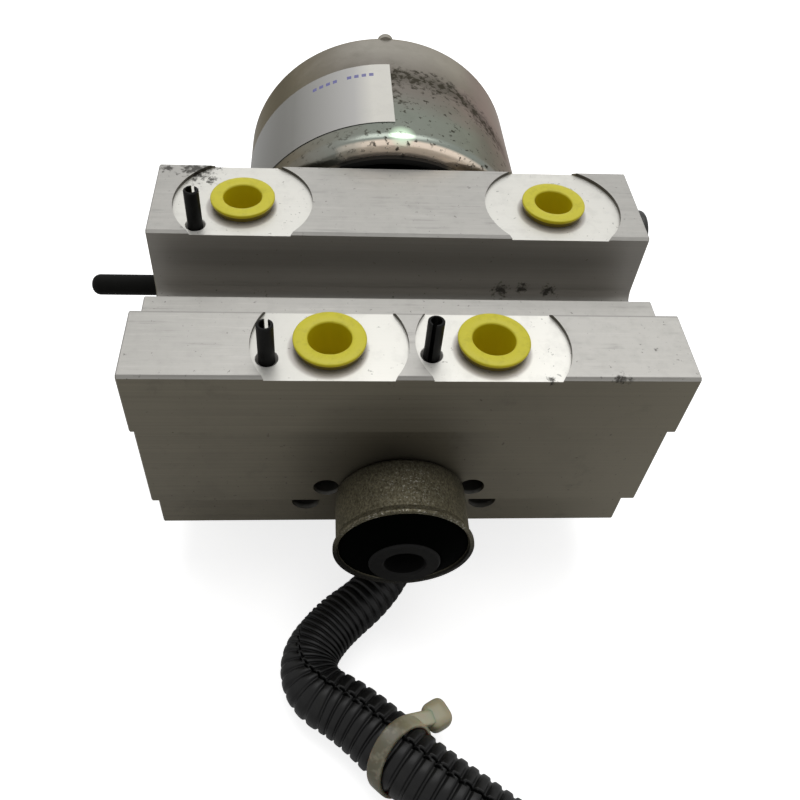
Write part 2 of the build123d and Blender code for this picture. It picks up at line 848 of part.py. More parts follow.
# Solenoid valves: tube, coil and sliding armature
for side_name, side in (("left", -1), ("right", 1)):
    for place, pitch in zip(("outer", "inner"), valve_half_pitches):
        name = f"{side_name}_{place}"
        down = along(mid_x + side * pitch, front_y + valve_depth, block_bottom, (0, 0, -1))
        valve_room = valve_tube_length - 0.8 - armature_length - armature_travel - 2 * seated
        with BuildPart() as valve_body:
            turned(
                down,
                (-valve_bore_depth + 0.5, 0),
                (-valve_bore_depth + 0.5, valve_bore_radius - seated),
                (0, valve_bore_radius - seated),
                (0, valve_tube_radius),
                (valve_tube_length, valve_tube_radius),
                (valve_tube_length, 0),
                (valve_tube_length - 0.8, 0),
                (valve_tube_length - 0.8, armature_radius + running),
                (valve_room, armature_radius + running),
                (valve_room, 0),
            )
        save(valve_body, f"valve_body_{name}")
        with BuildPart() as armature:
            end = valve_tube_length - 0.8 - seated
            bored(down, armature_radius, end, end - armature_length, Mode.ADD)
        save(armature, f"valve_armature_{name}")
        with BuildPart() as coil:
            ring(down, valve_tube_radius + seated, coil_radius, 0.6, 0.6 + coil_length)
        save(coil, f"valve_coil_{name}")


# Valve cover and its gasket, both open towards the block
cover_mid = (mid_x, front_y + (cover_front + cover_back) / 2)
cover_screws = [
    (mid_x + side * (cover_width / 2 - cover_screw_inset), front_y + y)
    for side in (-1, 1)
    for y in (cover_front + cover_screw_inset, cover_back - cover_screw_inset)
]
outlet_x = mid_x + outlet_offset
outlet_y = front_y + cover_front
with BuildPart() as valve_cover:
    with BuildSketch(Plane.XY):
        with Locations(cover_mid):
            RectangleRounded(cover_width, cover_depth, cover_corner)
    extrude(amount=cover_height)
    chamfer(valve_cover.faces().sort_by(Axis.Z)[0].edges(), 0.8)
    with BuildSketch(Plane.XY.offset(cover_wall)):
        with Locations(cover_mid):
            RectangleRounded(
                cover_width - 2 * cover_wall, cover_depth - 2 * cover_wall, cover_corner - cover_wall
            )
        with Locations(cover_screws):
            Circle(cover_boss_radius, mode=Mode.SUBTRACT)
    extrude(amount=cover_height, mode=Mode.SUBTRACT)
    for x, y in cover_screws:
        bored(along(x, y, 0, (0, 0, 1)), cover_screw_radius + 0.1, cover_height + 1, -1)
        bored(along(x, y, 0, (0, 0, 1)), screw_head_radius + 0.3, screw_head_height + 1.0, -1)
    outlet = along(outlet_x, outlet_y, outlet_height, (0, 1, 0))
    bored(outlet, nozzle_radius + 1.0, cover_wall + 0.5, -0.5)
save(valve_cover, "valve_cover")

with BuildPart() as cover_gasket:
    with BuildSketch(Plane.XY.offset(cover_height)):
        with Locations(cover_mid):
            RectangleRounded(cover_width - 0.6, cover_depth - 0.6, cover_corner - 0.3)
            RectangleRounded(
                cover_width - 2 * cover_wall - 0.6,
                cover_depth - 2 * cover_wall - 0.6,
                cover_corner - cover_wall,
                mode=Mode.SUBTRACT,
            )
        with Locations(cover_screws):
            Circle(cover_boss_radius - 0.3)
            Circle(cover_screw_radius + 0.3, mode=Mode.SUBTRACT)
    extrude(amount=cover_gasket_thick)
save(cover_gasket, "cover_gasket")

for name, (x, y) in zip(("left_front", "left_rear", "right_front", "right_rear"), cover_screws):
    with BuildPart() as cover_screw:
        seat = screw_head_height + 1.0
        bored(along(x, y, seat, (0, 0, 1)), cover_screw_radius, cover_screw_length, 0, Mode.ADD)
        bored(along(x, y, seat, (0, 0, -1)), screw_head_radius, screw_head_height, 0, Mode.ADD)
        with BuildSketch(Plane.XY.offset(seat - screw_head_height)):
            with Locations((x, y)):
                RegularPolygon(1.8, 6, major_radius=False)
        extrude(amount=1.6, mode=Mode.SUBTRACT)
    save(cover_screw, f"cover_screw_{name}")

with BuildPart() as outlet_grommet:
    out = along(outlet_x, outlet_y, outlet_height, (0, -1, 0))
    turned(
        out,
        (-cover_wall, 0),
        (-cover_wall, nozzle_radius + 1.0 - seated),
        (0, nozzle_radius + 1.0 - seated),
        (0, conduit_radius),
        (grommet_flange, conduit_radius),
        (grommet_flange, nozzle_radius),
        (grommet_flange + nozzle_length, nozzle_radius),
        (grommet_flange + nozzle_length, 0),
    )
save(outlet_grommet, "outlet_grommet")


# Harness: corrugated conduit leaving the cover forwards, folding back under the bush
route = [
    (outlet_offset, cover_front - grommet_flange, outlet_height),
    (outlet_offset, cover_front - grommet_flange - 10.0, outlet_height),
    (0.0, -4.6, outlet_height),
    (-20.6, -21.4, outlet_height),
    (-20.9, -32.4, outlet_height),
    (-9.9, -38.6, outlet_height),
    (3.0, -51.4, outlet_height),
    (32.0, -71.5, outlet_height),
    (49.0, -77.5, harness_plug_height / 2),
    (67.5, -78.5, harness_plug_height / 2),
]
places = [Vector(mid_x + x, front_y + y, z) for x, y, z in route]


def bend_radii(points):
    """The largest radius that fits each bend, taking under half of each run beside it."""
    radii = []
    for before, here, after in zip(points, points[1:], points[2:]):
        turn = radians((here - before).get_angle(after - here))
        shorter = min((here - before).length, (after - here).length)
        radii.append(0.45 * shorter / tan(turn / 2))
    return radii


radii = bend_radii(places)
print("conduit bend radii", [round(r, 1) for r in radii])
with BuildPart() as harness_conduit:
    with BuildLine() as run:
        FilletPolyline(*places, radius=radii)
    spine = run.wire()
    with BuildSketch(Plane(origin=spine @ 0, z_dir=spine % 0)):
        Circle(conduit_radius)
    sweep(path=spine)
    start = along(*places[0], (0, -1, 0))
    bored(start, nozzle_radius + 0.1, nozzle_length + 0.2, -0.5)
print("conduit length", round(spine.length, 1))
save(harness_conduit, "harness_conduit")

tie_run = places[6] - places[5]
tie_heading = degrees(atan2(tie_run.Y, tie_run.X))
tie_point = places[5] + tie_run * tie_share
tie_plane = Plane(
    origin=tie_point,
    x_dir=(-sin(radians(tie_heading)), cos(radians(tie_heading)), 0),
    z_dir=(cos(radians(tie_heading)), sin(radians(tie_heading)), 0),
)
with BuildPart() as cable_tie:
    with BuildSketch(tie_plane.offset(-tie_band / 2)):
        Circle(conduit_radius + 0.05 + tie_thick)
        Circle(conduit_radius + 0.05, mode=Mode.SUBTRACT)
    extrude(amount=tie_band)
    with BuildSketch(tie_plane.offset(-tie_band / 2)):
        with Locations((conduit_radius + tie_head_gap, 0)):
            Rectangle(2 * tie_head_gap, tie_head_height / 2)
        Circle(conduit_radius + 0.05, mode=Mode.SUBTRACT)
    extrude(amount=tie_band)
    with BuildSketch(tie_plane.offset(-tie_band / 2)):
        with Locations((conduit_radius + tie_head_gap + tie_head_reach / 2, 0)):
            RectangleRounded(tie_head_reach, tie_head_height, 1.2)
    extrude(amount=tie_head_length)
save(cable_tie, "cable_tie")

# Harness connector: a plain rectangular shell with terminal pockets in its face
end_run = places[-1] - places[-2]
end_heading = atan2(end_run.Y, end_run.X)
plug_plane = Plane(
    origin=places[-1],
    x_dir=(-sin(end_heading), cos(end_heading), 0),
    z_dir=(cos(end_heading), sin(end_heading), 0),
)
with BuildPart() as harness_connector:
    with BuildSketch(plug_plane.offset(-harness_plug_socket)):
        RectangleRounded(harness_plug_width, harness_plug_height, 2.0)
    extrude(amount=harness_plug_length)
    with BuildSketch(plug_plane.offset(-harness_plug_socket)):
        Circle(conduit_radius + seated)
    extrude(amount=harness_plug_socket + seated, mode=Mode.SUBTRACT)
    with BuildSketch(plug_plane.offset(harness_plug_length - harness_plug_socket)):
        with GridLocations(4.2, 4.2, 4, 2):
            Rectangle(2.2, 2.2)
    extrude(amount=-6.0, mode=Mode.SUBTRACT)
save(harness_connector, "harness_connector")
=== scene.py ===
from math import cos, pi, radians, sin

import bpy
import numpy as np
from mathutils import Matrix, Vector


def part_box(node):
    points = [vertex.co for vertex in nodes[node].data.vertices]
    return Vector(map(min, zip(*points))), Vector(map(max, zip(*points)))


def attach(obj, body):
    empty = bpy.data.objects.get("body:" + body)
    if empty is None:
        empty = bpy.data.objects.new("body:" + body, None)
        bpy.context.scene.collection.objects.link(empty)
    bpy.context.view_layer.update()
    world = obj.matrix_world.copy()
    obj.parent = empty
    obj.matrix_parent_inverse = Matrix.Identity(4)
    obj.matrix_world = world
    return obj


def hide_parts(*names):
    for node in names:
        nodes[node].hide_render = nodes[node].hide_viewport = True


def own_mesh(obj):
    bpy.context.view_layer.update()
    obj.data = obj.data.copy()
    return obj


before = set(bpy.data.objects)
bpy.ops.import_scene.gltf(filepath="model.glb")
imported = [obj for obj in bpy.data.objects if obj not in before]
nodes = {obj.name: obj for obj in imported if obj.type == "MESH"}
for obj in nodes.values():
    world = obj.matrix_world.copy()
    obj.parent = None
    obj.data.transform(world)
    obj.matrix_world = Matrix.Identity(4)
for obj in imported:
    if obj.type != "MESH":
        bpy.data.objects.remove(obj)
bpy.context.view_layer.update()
mm = 0.001
print("frame loaded:", len(nodes), "nodes")

# Places are given in mm from the block's middle, front face and front rail top
blockLow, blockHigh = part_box("valve_block")
rearRise = 1.1  # the rear rail's top over the front rail's
datum = np.array([(blockLow.x + blockHigh.x) / 2, blockLow.y, blockHigh.z - rearRise * mm])


def place(x, y, z):
    return datum + np.array([x, y, z]) * mm


# Each plug's place on its seat
flangeTop = 1.9  # over the seat
plugSeats = {}
for name in nodes:
    if name.startswith("port_plug"):
        low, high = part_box(name)
        plugSeats[name] = np.array([(low.x + high.x) / 2, (low.y + high.y) / 2, high.z - flangeTop * mm])


# Shader helpers
def addNode(tree, kind, inputs=None, **settings):
    node = tree.nodes.new("ShaderNode" + kind)
    for key, value in settings.items():
        setattr(node, key, value)
    fill(tree, node, inputs)
    return node


def fill(tree, node, inputs):
    for key, value in (inputs or {}).items():
        if isinstance(value, bpy.types.NodeSocket):
            tree.links.new(value, node.inputs[key])
        else:
            node.inputs[key].default_value = value


def calc(tree, operation, a, b=0.0, c=0.0, clamp=False):
    return addNode(tree, "Math", {0: a, 1: b, 2: c}, operation=operation, use_clamp=clamp).outputs[0]


def times(tree, first, *others):
    for other in others:
        first = calc(tree, "MULTIPLY", first, other)
    return first


def opposite(tree, mask):
    return calc(tree, "SUBTRACT", 1.0, mask)


def band(tree, value, low, high):
    # ramps from 0 at low to 1 at high, held at both ends
    return addNode(
        tree, "MapRange", {"Value": value, "From Min": low, "From Max": high}, clamp=True
    ).outputs[0]


def within(tree, value, low, high):
    return calc(tree, "COMPARE", value, (low + high) / 2, (high - low) / 2)


def blendColour(tree, mask, a, b):
    node = addNode(tree, "Mix", data_type="RGBA")
    for index, value in ((0, mask), (6, a), (7, b)):
        if isinstance(value, tuple):
            value = (*value, 1.0)
        fill(tree, node, {index: value})
    return node.outputs[2]


def layer(tree, colour, over, *masks):
    # lays a second colour over the first where the masks, multiplied, let it through
    return blendColour(tree, times(tree, *masks), colour, over)


def scaled(colour, share):
    return tuple(share * v for v in colour)


def offsets(tree, origin):
    # mm to the right of, behind and above a place, at the shaded point
    where = addNode(tree, "TexCoord").outputs["Object"]
    away = addNode(tree, "VectorMath", {0: where, 1: tuple(origin)}, operation="SUBTRACT").outputs[0]
    inMm = addNode(tree, "VectorMath", {0: away, "Scale": 1 / mm}, operation="SCALE").outputs[0]
    return addNode(tree, "SeparateXYZ", {0: inMm}).outputs


def facingOf(tree):
    return addNode(tree, "SeparateXYZ", {0: addNode(tree, "NewGeometry").outputs["Normal"]}).outputs


def newGroup(name, inputs, outputs):
    group = bpy.data.node_groups.new(name, "ShaderNodeTree")
    for label, value in inputs.items():
        kind = "NodeSocketVector" if isinstance(value, tuple) else "NodeSocketFloat"
        socket = group.interface.new_socket(label, in_out="INPUT", socket_type=kind)
        socket.default_value = value
    for label in outputs:
        group.interface.new_socket(label, in_out="OUTPUT", socket_type="NodeSocketFloat")
    return group, group.nodes.new("NodeGroupInput").outputs, group.nodes.new("NodeGroupOutput").inputs


def useGroup(tree, group, inputs):
    node = tree.nodes.new("ShaderNodeGroup")
    node.node_tree = group
    fill(tree, node, inputs)
    return node.outputs[0]


# Brushed grain: noise stretched by "Stretch" along each axis, in object space
grainGroup, given, results = newGroup(
    "brushedGrain", {"Stretch": (20.0, 1500.0, 1500.0), "Contrast": 1.0}, ["Grain"]
)
where = addNode(grainGroup, "TexCoord").outputs["Object"]
stretched = addNode(
    grainGroup, "VectorMath", {0: where, 1: given["Stretch"]}, operation="MULTIPLY"
).outputs[0]
grain = addNode(grainGroup, "TexNoise", {"Vector": stretched, "Scale": 1.0, "Detail": 4.0, "Roughness": 0.6})
centred = calc(grainGroup, "SUBTRACT", grain.outputs[0], 0.5)
grainGroup.links.new(
    calc(grainGroup, "MULTIPLY_ADD", centred, given["Contrast"], 0.5, clamp=True), results["Grain"]
)

# Blotches: where a noise of the given scale rises past 1 - "Cover", over a ramp of "Soft"
blotchGroup, given, results = newGroup(
    "blotches", {"Scale": 200.0, "Cover": 0.5, "Soft": 0.08, "Detail": 5.0}, ["Mask"]
)
where = addNode(blotchGroup, "TexCoord").outputs["Object"]
noise = addNode(
    blotchGroup,
    "TexNoise",
    {"Vector": where, "Scale": given["Scale"], "Detail": given["Detail"], "Roughness": 0.65},
).outputs[0]
threshold = opposite(blotchGroup, given["Cover"])
past = band(blotchGroup, noise, threshold, calc(blotchGroup, "ADD", threshold, given["Soft"]))
blotchGroup.links.new(past, results["Mask"])

# Nearness: 1 at a point, falling to 0 at "Reach" metres, in object space
nearGroup, given, results = newGroup("nearness", {"Centre": (0.0, 0.0, 0.0), "Reach": 0.01}, ["Mask"])
where = addNode(nearGroup, "TexCoord").outputs["Object"]
gap = addNode(nearGroup, "VectorMath", {0: where, 1: given["Centre"]}, operation="DISTANCE").outputs["Value"]
nearGroup.links.new(
    calc(nearGroup, "SUBTRACT", 1.0, calc(nearGroup, "DIVIDE", gap, given["Reach"]), clamp=True),
    results["Mask"],
)


def brushed(tree, stretch, contrast):
    return useGroup(tree, grainGroup, {"Stretch": stretch, "Contrast": contrast})


def blotches(tree, scale, cover=0.5, soft=0.3, detail=5.0):
    return useGroup(tree, blotchGroup, {"Scale": scale, "Cover": cover, "Soft": soft, "Detail": detail})


def rawNoise(tree, scale, detail=4.0):
    return blotches(tree, scale, 1.0, 1.0, detail)


def nearTo(tree, centre, reach):
    return useGroup(tree, nearGroup, {"Centre": tuple(centre), "Reach": reach * mm})


def nearestPlug(tree, shift, reach=20.0):
    # nearness to the closest plug's seat, with every seat shifted by some mm
    nearest = 0.0
    for seat in plugSeats.values():
        nearest = calc(tree, "MAXIMUM", nearTo(tree, seat + np.array(shift) * mm, reach), nearest)
    return nearest


print("shader groups ready")


def startMaterial(name, roughness, metallic=0.0, gloss=0.5):
    material = bpy.data.materials.new(name)
    material.use_nodes = True
    shader = material.node_tree.nodes["Principled BSDF"]
    shader.inputs["Roughness"].default_value = roughness
    shader.inputs["Metallic"].default_value = metallic
    shader.inputs["Specular IOR Level"].default_value = gloss
    return material, material.node_tree, shader


def bumpInto(tree, shader, height, strength, distance=0.2 * mm):
    bump = addNode(tree, "Bump", {"Height": height, "Strength": strength, "Distance": distance})
    tree.links.new(bump.outputs[0], shader.inputs["Normal"])


def dress(material, *starts):
    # gives a material to each node whose name starts with one of the words
    for name in nodes:
        if name.startswith(starts):
            materials = nodes[name].data.materials
            if materials:
                materials[0] = material
            else:
                materials.append(material)


def meshGrid(name, points, closedU=False, closedV=False):
    # points is a (rows, columns, 3) array; u runs along the rows, v along the columns
    rows, columns = points.shape[:2]
    index = np.arange(rows * columns).reshape(rows, columns)
    if closedU:
        index = np.vstack([index, index[:1]])
    if closedV:
        index = np.hstack([index, index[:, :1]])
    quads = np.stack([index[:-1, :-1], index[:-1, 1:], index[1:, 1:], index[1:, :-1]], -1).reshape(-1, 4)
    mesh = bpy.data.meshes.new(name)
    mesh.from_pydata(points.reshape(-1, 3).tolist(), [], quads.tolist())
    mesh.polygons.foreach_set("use_smooth", np.full(len(mesh.polygons), True))
    mesh.update()
    return addPiece(name, mesh)


def addPiece(name, mesh):
    piece = bpy.data.objects.new(name, mesh)
    bpy.context.scene.collection.objects.link(piece)
    return piece


def join(name, pieces):
    with bpy.context.temp_override(active_object=pieces[0], selected_editable_objects=pieces):
        bpy.ops.object.join()
    pieces[0].name = name
    return pieces[0]


# Stage
stage = {
    "floorTone": 0.9,
    "floorGlow": 0.76,
    "floorSize": 8.0,
    "keyPower": 8.0,
    "keySize": 1.0,
    "keyPlace": (0.1, 0.35, 1.25),
    "keyAim": (0, 0.02, 0.04),
    "ambient": 0.3,
}

half = stage["floorSize"] / 2
floorMesh = bpy.data.meshes.new("floor")
floorMesh.from_pydata(
    [(-half, -half, 0), (half, -half, 0), (half, half, 0), (-half, half, 0)], [], [(0, 1, 2, 3)]
)
floor = addPiece("floor", floorMesh)
floorMaterial, tree, shader = startMaterial("paleFloor", roughness=0.9, gloss=0.0)
shader.inputs["Base Color"].default_value = (*[stage["floorTone"]] * 3, 1)
# Camera rays see the floor lifted to white, with the shadow left in it
shader.inputs["Emission Color"].default_value = (1, 1, 1, 1)
cameraRay = addNode(tree, "LightPath").outputs["Is Camera Ray"]
tree.links.new(times(tree, cameraRay, stage["floorGlow"]), shader.inputs["Emission Strength"])
floorMesh.materials.append(floorMaterial)

# The backdrop is white to the camera and in reflections, and lights the object less
world = bpy.data.worlds.new("studio")
bpy.context.scene.world = world
world.use_nodes = True
tree = world.node_tree
tree.nodes.clear()
rays = addNode(tree, "LightPath").outputs
clear = calc(tree, "MAXIMUM", rays["Is Glossy Ray"], rays["Is Transmission Ray"])
seen = calc(tree, "MAXIMUM", rays["Is Camera Ray"], clear)
ambient = addNode(tree, "Background", {"Color": (1, 1, 1, 1), "Strength": stage["ambient"]})
backdrop = addNode(tree, "Background", {"Color": (1, 1, 1, 1), "Strength": 1.0})
both = addNode(tree, "MixShader", {0: seen, 1: ambient.outputs[0], 2: backdrop.outputs[0]})
tree.links.new(both.outputs[0], addNode(tree, "OutputWorld").inputs[0])

keyLight = bpy.data.lights.new("keyLight", "AREA")
keyLight.energy = stage["keyPower"]
keyLight.size = stage["keySize"]
key = addPiece("keyLight", keyLight)
key.location = stage["keyPlace"]
key.rotation_mode = "QUATERNION"
key.rotation_quaternion = (Vector(stage["keyAim"]) - key.location).to_track_quat("-Z", "Y")

# The camera looks down at 48 degrees, a little to the right, and leans 4.7 degrees.
# "centre" is where its axis meets the picture, in pixels of a square frame
view = {
    "place": (-18.408, -106.56, 121.351),
    "yaw": 5.849,
    "pitch": 48.395,
    "roll": -4.658,
    "lens": 37.662,
    "centre": (377.30, 375.70),
    "frame": 800,
}
yaw, pitch, roll = (radians(view[k]) for k in ("yaw", "pitch", "roll"))
forward = np.array([sin(yaw) * cos(pitch), cos(yaw) * cos(pitch), -sin(pitch)])
level = np.array([cos(yaw), -sin(yaw), 0.0])
down = np.cross(forward, level)
right = cos(roll) * level + sin(roll) * down
down = cos(roll) * down - sin(roll) * level
cameraData = bpy.data.cameras.new("camera")
cameraData.lens = view["lens"]
cameraData.sensor_width = 36.0
cameraData.shift_x = 0.5 - view["centre"][0] / view["frame"]
cameraData.shift_y = view["centre"][1] / view["frame"] - 0.5
cameraData.clip_start = 0.005
camera = addPiece("camera", cameraData)
axes = Matrix(np.array([right, -down, -forward]).T.tolist()).to_4x4()
camera.matrix_world = Matrix.Translation(place(*view["place"])) @ axes
bpy.context.scene.camera = camera
bpy.context.scene.view_settings.view_transform = "Standard"
print("stage set")

# Valve block. Spans are mm behind its front face, right of its middle or above the front rail's top,
# and each dirty place has its centre and reach
block = {
    "top": (0.40, 0.39, 0.365),
    "side": (0.165, 0.148, 0.108),
    "groove": (0.27, 0.255, 0.23),
    "spot": (0.655, 0.645, 0.60),
    "stain": (0.27, 0.24, 0.23),
    "grime": (0.02, 0.017, 0.012),
    "frontFloor": -0.9,
    "rearFloor": 0.2,
    "floorSlack": 0.15,
    "betweenRails": 25.0,
    "toRight": (5.0, 60.0),
    "toLeft": (-8.0, -34.0),
    "grooveSpans": ((30.0, 32.0), (44.0, 43.0)),
    "frontWalls": ((0.3, 23.0), (-0.87, -0.03)),
    "rearWalls": ((44.4, 67.6), (0.23, 1.07)),
    "wallsWide": (-54.0, 54.0),
    "frontEdge": (0.85, 0.45),
    "railEdge": (17.55, 17.95),
    "drillings": {
        "middle": (3.0, 3.6),
        "middleFoot": -46.8,
        "lower": (7.8, 8.6),
        "top": -20.0,
        "end": 24.0,
        "aside": (-30.0, 30.0),
    },
    "ringShift": (-0.3, -1.1, 0.0),
    "ringEdge": (0.58, 0.61),
    "bushShade": ((-3.0, 2.46, -27.0), 24.0),
    "dirtyPlaces": (
        ((-48.5, 66.0, 1.1), 6.5),
        ((-43.5, 68.8, 1.1), 4.0),
        ((-44.6, 62.8, 0.2), 2.6),
        ((-55.5, 66.0, 1.1), 2.6),
        ((25.0, 42.2, -15.4), 3.4),
        ((30.2, 42.2, -14.6), 2.4),
        ((36.7, 42.2, -15.5), 3.0),
        ((41.1, 0.3, -0.2), 2.4),
        ((43.0, 0.3, -0.2), 1.8),
        ((27.2, 0.3, -0.6), 1.8),
        ((50.0, 8.0, -0.2), 1.0),
        ((-30.0, 43.5, -17.0), 1.2),
        ((3.0, 43.0, -16.0), 1.2),
    ),
}
blockMaterial, tree, shader = startMaterial("machinedAluminium", roughness=0.42, metallic=0.55)
across, behind, above = offsets(tree, datum)
facing = facingOf(tree)
up = band(tree, facing[2], 0.35, 0.75)
onFront = calc(tree, "LESS_THAN", behind, block["betweenRails"])
onRear = opposite(tree, onFront)
toRight = band(tree, across, *block["toRight"])
toLeft = band(tree, across, *block["toLeft"])
grain = brushed(tree, (14.0, 2600.0, 1800.0), 0.9)
scratches = brushed(tree, (45.0, 900.0, 900.0), 2.2)


def grained(tone, swing):
    return blendColour(tree, grain, scaled(tone, 1 - swing), scaled(tone, 1 + swing))


def layered(tone, swing, layers):
    # a grained tone with shares of itself laid over it, each by a strength and a mask
    colour = grained(tone, swing)
    for share, strength, mask in layers:
        colour = layer(tree, colour, scaled(tone, share), mask, strength)
    return colour


# Upright faces: darker than the tops, partly a dull finish and partly painted shade; stained and scuffed,
# lighter to the right, with painted shade round the bush and painted light reflected into the groove
sideLayers = (
    (0.55, 0.3, blotches(tree, 38.0, 0.47, 0.2)),
    (1.5, 0.5, toRight),
    (0.4, 0.28, band(tree, rawNoise(tree, 95.0, 6.0), 0.6, 0.72)),
)
sideColour = layered(block["side"], 0.3, sideLayers)
# painted shade on the face round the bush
bushPlace, bushReach = block["bushShade"]
sideColour = layer(tree, sideColour, block["grime"], nearTo(tree, place(*bushPlace), bushReach), 0.8)
# painted light reflected from the ledge makes the groove's wall paler
inGroove = times(tree, *(band(tree, behind, *span) for span in block["grooveSpans"]))
alongBlock = band(tree, calc(tree, "ABSOLUTE", facing[0]), 0.7, 0.3)
sideColour = layer(tree, sideColour, grained(block["groove"], 0.15), inGroove, alongBlock)
# Tops: clouded, scratched and gouged, with the front edge darkened and a dark line of painted shade at the
# ledge's step
gouges = times(tree, band(tree, scratches, 0.36, 0.2), band(tree, rawNoise(tree, 120.0, 3.0), 0.45, 0.6))
frontEdgeDark = times(tree, band(tree, behind, *block["frontEdge"]), 0.55)
# a thin line of painted shade where the front rail steps to the ledge
edges = calc(tree, "MAXIMUM", frontEdgeDark, times(tree, within(tree, behind, *block["railEdge"]), 0.6))
topLayers = (
    (0.78, 0.3, blotches(tree, 60.0, 0.55, 0.35)),
    (1.5, 0.16, band(tree, scratches, 0.66, 0.85)),
    (1.3, 0.5, times(tree, toRight, band(tree, behind, 30.0, 25.0))),
    (0.8, 0.3, band(tree, rawNoise(tree, 330.0, 6.0), 0.48, 0.66)),
    (0.5, 0.35, gouges),
    (0.5, 1.0, edges),
)
colour = blendColour(tree, up, sideColour, layered(block["top"], 0.12, topLayers))
# Spotfaces: the flat floors a little under each rail's top, each with a brown ring of painted shadow from
# its plug
spotLayers = (
    (1.25, 1.0, times(tree, toRight, onFront)),
    # the front spotfaces darker to the left: painted shade of the pins
    (0.62, 0.6, times(tree, toLeft, onFront)),
    (0.72, 0.3, band(tree, rawNoise(tree, 260.0, 6.0), 0.5, 0.68)),
)
spotColour = layered(block["spot"], 0.05, spotLayers)
# painted shadow of each plug: a ring round its seat, shifted towards the front
plugShadowRing = band(tree, nearestPlug(tree, block["ringShift"]), *block["ringEdge"])
spotColour = layer(tree, spotColour, block["stain"], plugShadowRing, 0.6)
frontSpot = times(tree, calc(tree, "COMPARE", above, block["frontFloor"], block["floorSlack"]), onFront)
rearSpot = times(tree, calc(tree, "COMPARE", above, block["rearFloor"], block["floorSlack"]), onRear)
colour = layer(tree, colour, spotColour, calc(tree, "ADD", frontSpot, rearSpot), up)
# The low walls round the spotfaces are dark with painted shade
walls = [
    times(tree, within(tree, behind, *depths), within(tree, above, *heights))
    for depths, heights in (block["frontWalls"], block["rearWalls"])
]
upright = opposite(tree, up)
inside = within(tree, across, *block["wallsWide"])
colour = layer(tree, colour, block["grime"], calc(tree, "MAXIMUM", *walls), upright, inside, 0.8)
# Painted shade inside the front drillings, behind the middle and the lower band
drillings = block["drillings"]
overFoot = calc(tree, "GREATER_THAN", above, drillings["middleFoot"])
inMiddle = times(tree, band(tree, behind, *drillings["middle"]), overFoot)
inHole = calc(tree, "MAXIMUM", inMiddle, band(tree, behind, *drillings["lower"]))
low = calc(tree, "LESS_THAN", above, drillings["top"])
shallow = calc(tree, "LESS_THAN", behind, drillings["end"])
inside = within(tree, across, *drillings["aside"])
colour = layer(tree, colour, block["grime"], inHole, low, inside, shallow, 0.88)
# Dirt: specks all over, and ragged patches at the dirty places
uneven = rawNoise(tree, 900.0)
dirt = times(tree, blotches(tree, 900.0, 0.334, 0.04, 3.0), 0.55)
for centre, reach in block["dirtyPlaces"]:
    close = nearTo(tree, place(*centre), reach)
    patch = band(tree, calc(tree, "MULTIPLY_ADD", close, 0.36, uneven), 0.63, 0.8)
    dirt = calc(tree, "MAXIMUM", dirt, times(tree, patch, band(tree, close, 0.0, 0.15)))
dirt = times(tree, dirt, 0.9)
tree.links.new(layer(tree, colour, block["grime"], dirt), shader.inputs["Base Color"])
tree.links.new(calc(tree, "MULTIPLY_ADD", grain, 0.18, 0.33), shader.inputs["Roughness"])
bumpInto(tree, shader, calc(tree, "SUBTRACT", grain, dirt), 0.12, 0.05 * mm)
dress(blockMaterial, "valve_block")
print("valve block dressed")

# Port plugs. The section gives distances from the axis and heights over the seat: a flat-topped
# flange with a crisp rim and a straight wall, a deep hole and a thin closed stem
plug = {
    "colour": (0.735, 0.665, 0.05),
    "wall": (0.57, 0.47, 0.004),
    "under": (0.16, 0.12, 0.01),
    "gloss": 0.25,
    "turns": 128,
    "section": (
        (0, -7.6), (4.2, -7.6), (4.35, -7.3), (4.4, 1.45), (4.55, 1.8), (4.8, 1.9), (6.0, 1.93), (7.1, 1.9),
        (7.36, 1.82), (7.45, 1.62), (7.4, 1.2), (7.1, 1.0), (7.0, -0.1), (6.85, -0.25), (5.4, -0.25),
        (5.3, -8.3), (5.1, -8.5), (0, -8.5),
    ),
}
plugMaterial, tree, shader = startMaterial("yellowPlastic", roughness=0.36, gloss=plug["gloss"])
mottle = blotches(tree, 500.0)
colour = blendColour(tree, mottle, plug["colour"], scaled(plug["colour"], 0.8))
# painted shade darkens the plug's upright faces, outside and in its hole
upright = opposite(tree, band(tree, facingOf(tree)[2], 0.2, 0.8))
colour = layer(tree, colour, plug["wall"], upright)
# Under the flange the plug has a painted brown shadow of the flange: over 6.4 mm from the axis and less than
# 1.1 mm up
_, behind, above = offsets(tree, datum)
seatHeight = calc(
    tree,
    "MULTIPLY_ADD",
    calc(tree, "LESS_THAN", behind, block["betweenRails"]),
    block["frontFloor"] - block["rearFloor"],
    block["rearFloor"],
)
overSeat = calc(tree, "SUBTRACT", above, seatHeight)
outside = band(tree, nearestPlug(tree, (0, 0, 0.5)), 0.70, 0.68)
shade = times(tree, band(tree, overSeat, 1.2, 1.0), calc(tree, "GREATER_THAN", overSeat, -0.3))
colour = layer(tree, colour, plug["under"], outside, shade)
tree.links.new(colour, shader.inputs["Base Color"])
bumpInto(tree, shader, mottle, 0.08)
out, up = np.array(plug["section"]).T
turn = np.linspace(0, 2 * np.pi, plug["turns"], endpoint=False)[:, None]
for name, seat in plugSeats.items():
    points = seat + mm * np.stack([out * np.cos(turn), out * np.sin(turn), up + 0 * turn], -1)
    corner = name.removeprefix("port_plug_").title().replace("_", "")
    plugPiece = meshGrid(f"plug{corner}", points, closedU=True)
    plugPiece.data.materials.append(plugMaterial)
    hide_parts(name)
    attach(plugPiece, "unit")

